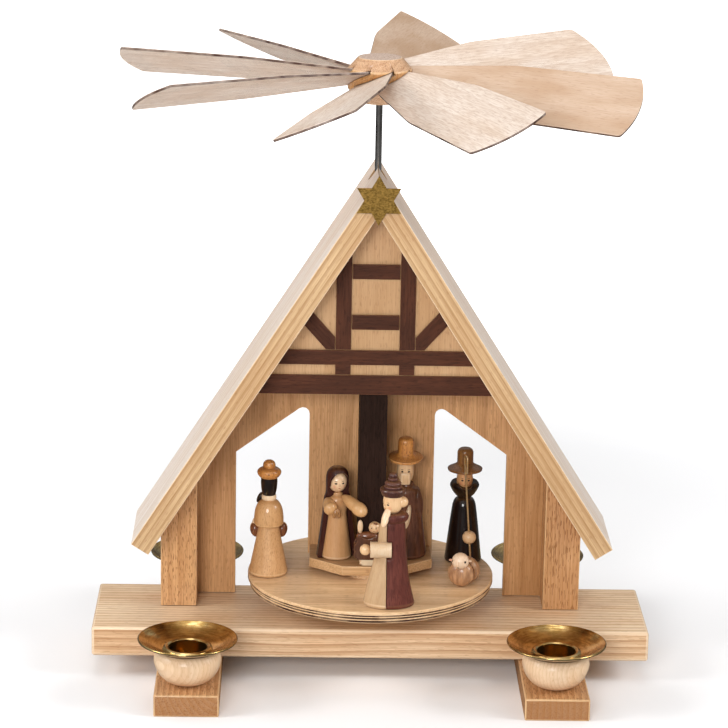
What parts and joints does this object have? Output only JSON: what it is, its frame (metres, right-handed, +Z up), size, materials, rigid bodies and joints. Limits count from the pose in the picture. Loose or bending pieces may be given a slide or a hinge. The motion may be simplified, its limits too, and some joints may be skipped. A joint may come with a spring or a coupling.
{
  "type": "candle carousel",
  "caption": "Gabled wooden house on cross feet; slanted plywood blades over the ridge turn a table of figures round a fixed group, with brass drip trays on turned cups",
  "frame": {"origin": "on the axis of the propeller's shaft, at the level of the surface the feet stand on", "axes": "+X to the right as seen in the picture, +Y to the rear through the windows, +Z up"},
  "size_m": [0.253, 0.2314, 0.2844],
  "materials": {
    "pine": "clear varnished pine",
    "beech": "oiled beech",
    "birch": "smooth birch plywood, clear varnish",
    "maple": "turned maple, clear varnish",
    "plywood": "thin raw birch plywood",
    "honey_stain": "honey-coloured stain under varnish",
    "walnut_stain": "dark walnut stain",
    "coat_brown": "dark brown stain under varnish",
    "dark_stain": "near-black stain",
    "black_stain": "black stain under gloss varnish",
    "burgundy_stain": "burgundy stain under varnish",
    "plum_stain": "plum-brown stain under varnish",
    "aged_brass": "lightly aged brass",
    "steel": "plain drawn steel"
  },
  "bodies": {
    "house": {"base_board": "pine", "cross_foot_left": "beech", "cross_foot_right": "beech", "post_left": "beech", "post_right": "beech", "rear_wall": "birch", "gable_plate": "birch", "timber_bottom_rail": "walnut_stain", "timber_middle_rail": "walnut_stain", "timber_lower_tie": "walnut_stain", "timber_upper_tie": "walnut_stain", "timber_stud_left": "walnut_stain", "timber_stud_right": "walnut_stain", "timber_brace_left": "walnut_stain", "timber_brace_right": "walnut_stain", "shaft_column": "dark_stain", "roof_board_left": "pine", "roof_board_right": "pine", "star": "aged_brass", "podium": "birch", "guide_bush": "aged_brass", "pivot_cup": "aged_brass", "candle_cup_front_left": "maple", "candle_cup_front_right": "maple", "candle_cup_rear_left": "maple", "candle_cup_rear_right": "maple", "mary_body": "maple", "mary_cloak": "plum_stain", "joseph_coat": "coat_brown", "joseph_head": "maple", "joseph_hat": "honey_stain", "crib": "walnut_stain", "child": "maple"},
    "rotor": {"shaft": "steel", "turntable": "birch", "king_left_robe": "beech", "king_left_head": "black_stain", "king_left_hat": "honey_stain", "king_front_robe": "maple", "king_front_cloak": "burgundy_stain", "king_front_head": "maple", "king_front_hat": "walnut_stain", "shepherd_coat": "black_stain", "shepherd_head": "maple", "shepherd_hat": "walnut_stain", "shepherd_staff": "aged_brass", "sheep": "maple"},
    "propeller": {"propeller_hub": "beech", "blade_1": "plywood", "blade_2": "plywood", "blade_3": "plywood", "blade_4": "plywood", "blade_5": "plywood", "blade_6": "plywood", "blade_7": "plywood", "blade_8": "plywood"},
    "tray_front_left": {"drip_tray_front_left": "aged_brass"},
    "tray_front_right": {"drip_tray_front_right": "aged_brass"},
    "tray_rear_left": {"drip_tray_rear_left": "aged_brass"},
    "tray_rear_right": {"drip_tray_rear_right": "aged_brass"}
  },
  "joints": [
    {"name": "rotor_spin", "type": "hinge", "parent": "house", "child": "rotor", "pos_m": [0, 0, 0.022], "axis": [0, 0, 1], "continuous": true},
    {"name": "propeller_lift", "type": "slide", "parent": "rotor", "child": "propeller", "axis": [0, 0, 1], "range_m": [0, 0.03]},
    {"name": "tray_lift_front_left", "type": "slide", "parent": "house", "child": "tray_front_left", "axis": [0, 0, 1], "range_m": [0, 0.02]},
    {"name": "tray_lift_front_right", "type": "slide", "parent": "house", "child": "tray_front_right", "axis": [0, 0, 1], "range_m": [0, 0.02]},
    {"name": "tray_lift_rear_left", "type": "slide", "parent": "house", "child": "tray_rear_left", "axis": [0, 0, 1], "range_m": [0, 0.02]},
    {"name": "tray_lift_rear_right", "type": "slide", "parent": "house", "child": "tray_rear_right", "axis": [0, 0, 1], "range_m": [0, 0.02]}
  ]
}
